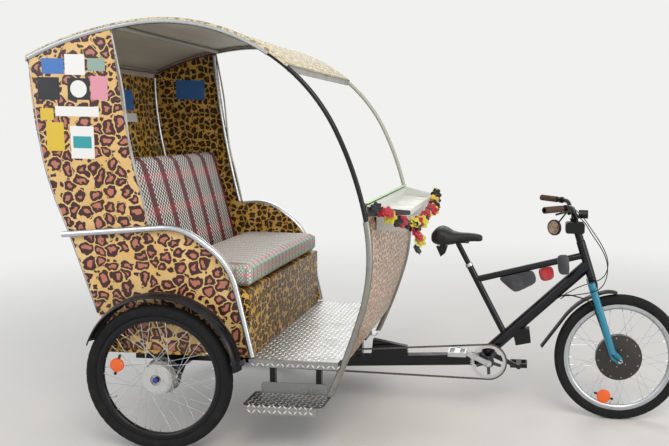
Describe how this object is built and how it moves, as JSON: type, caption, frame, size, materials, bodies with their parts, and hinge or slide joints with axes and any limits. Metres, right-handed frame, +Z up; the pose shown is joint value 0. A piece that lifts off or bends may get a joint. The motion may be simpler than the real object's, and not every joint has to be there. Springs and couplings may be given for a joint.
{
  "type": "cycle rickshaw",
  "caption": "Three-wheeled cycle rickshaw with a hooded rear cabin, bench, steps, spoked wheels and a hub-motor front wheel.",
  "frame": {"origin": "on the ground under the middle of the vehicle's box", "axes": "+X forward, +Y to the rider's left, +Z up"},
  "size_m": [3.0799, 1.3, 1.9525],
  "materials": {
    "bag_cloth": "dark grey nylon",
    "bar_black": "satin black",
    "black_frame": "gloss black paint",
    "black_plastic": "black moulded",
    "black_tube": "satin black",
    "canopy": "coated roof sheet",
    "checker_plate": "raised tread plate",
    "dash_print": "printed film, finely spotted",
    "disc": "ground steel",
    "fork_paint": "teal paint",
    "front_rim": "silver anodised",
    "grey_tube": "dull grey tube",
    "grip_rubber": "soft grip",
    "hub": "cast, satin",
    "motor": "satin black",
    "rear_print": "printed film, spotted",
    "rear_rim": "black anodised",
    "roof_tube": "satin tube",
    "saddle_skin": "black padded cover",
    "seat_cloth": "woven check",
    "side_print": "printed film, spotted",
    "steel": "bright metal",
    "tray": "white moulded",
    "tyre": "matt rubber tread"
  },
  "bodies": {
    "chassis": {"arm_rails": "roof_tube", "back_cushion": "seat_cloth", "boom": "black_frame", "canopy": "canopy", "chain": "steel", "chain_cover": "black_frame", "control_box": "black_plastic", "dash_panel": "dash_print", "dash_tray": "tray", "floor_frame": "black_frame", "footboard": "checker_plate", "frame_bags": "bag_cloth", "front_hoops": "black_tube", "head_tube": "black_frame", "jackshaft": "steel", "lower_hoops": "grey_tube", "main_tube": "black_frame", "panel_posts": "roof_tube", "rear_axle": "black_frame", "rear_mudguards": "black_plastic", "rear_panel": "rear_print", "roof_cross_tubes": "roof_tube", "roof_fascia": "grey_tube", "roof_hoops": "roof_tube", "saddle": "saddle_skin", "seat_box": "side_print", "seat_clamp": "steel", "seat_cushion": "seat_cloth", "seat_post": "bar_black", "seat_tube": "black_frame", "side_panel_left": "side_print", "side_panel_right": "side_print", "step_brackets": "black_frame", "steps": "checker_plate", "top_tube": "black_frame"},
    "steering": {"fork": "fork_paint", "fork_crown": "bar_black", "front_axle": "steel", "stem": "bar_black", "handlebar": "bar_black", "grips": "grip_rubber", "front_mudguard": "black_plastic", "brake_levers": "black_plastic", "bar_fittings": "black_plastic", "cables": "black_plastic"},
    "front_wheel": {"front_tyre": "tyre", "front_rim": "front_rim", "hub_motor": "motor"},
    "rear_wheel_right": {"rear_tyre_right": "tyre", "rear_rim_right": "rear_rim", "rear_hub_right": "hub", "brake_disc_right": "disc"},
    "rear_wheel_left": {"rear_tyre_left": "tyre", "rear_rim_left": "rear_rim", "rear_hub_left": "hub", "brake_disc_left": "disc"},
    "crankset": {"crank": "steel", "chainring": "steel"},
    "right_pedal": {"pedal_right": "steel"},
    "left_pedal": {"pedal_left": "steel"}
  },
  "joints": [
    {"name": "steering_turn", "type": "hinge", "parent": "chassis", "child": "steering", "pos_m": [1.018, 0, 0.845], "axis": [-0.3173, 0, 0.9483], "range_deg": [-60, 60], "deforming": ["cables"]},
    {"name": "front_wheel_spin", "type": "hinge", "parent": "steering", "child": "front_wheel", "pos_m": [1.207, 0, 0.333], "axis": [0, 1, 0], "continuous": true},
    {"name": "rear_wheel_right_spin", "type": "hinge", "parent": "chassis", "child": "rear_wheel_right", "pos_m": [-0.94, -0.595, 0.34], "axis": [0, 1, 0], "continuous": true},
    {"name": "rear_wheel_left_spin", "type": "hinge", "parent": "chassis", "child": "rear_wheel_left", "pos_m": [-0.94, 0.595, 0.34], "axis": [0, 1, 0], "continuous": true},
    {"name": "crank_spin", "type": "hinge", "parent": "chassis", "child": "crankset", "pos_m": [0.534, 0, 0.297], "axis": [0, 1, 0], "continuous": true},
    {"name": "pedal_right_spin", "type": "hinge", "parent": "crankset", "child": "right_pedal", "pos_m": [0.3787, -0.136, 0.36614], "axis": [0, 1, 0], "continuous": true},
    {"name": "pedal_left_spin", "type": "hinge", "parent": "crankset", "child": "left_pedal", "pos_m": [0.6893, 0.136, 0.22786], "axis": [0, 1, 0], "continuous": true}
  ]
}
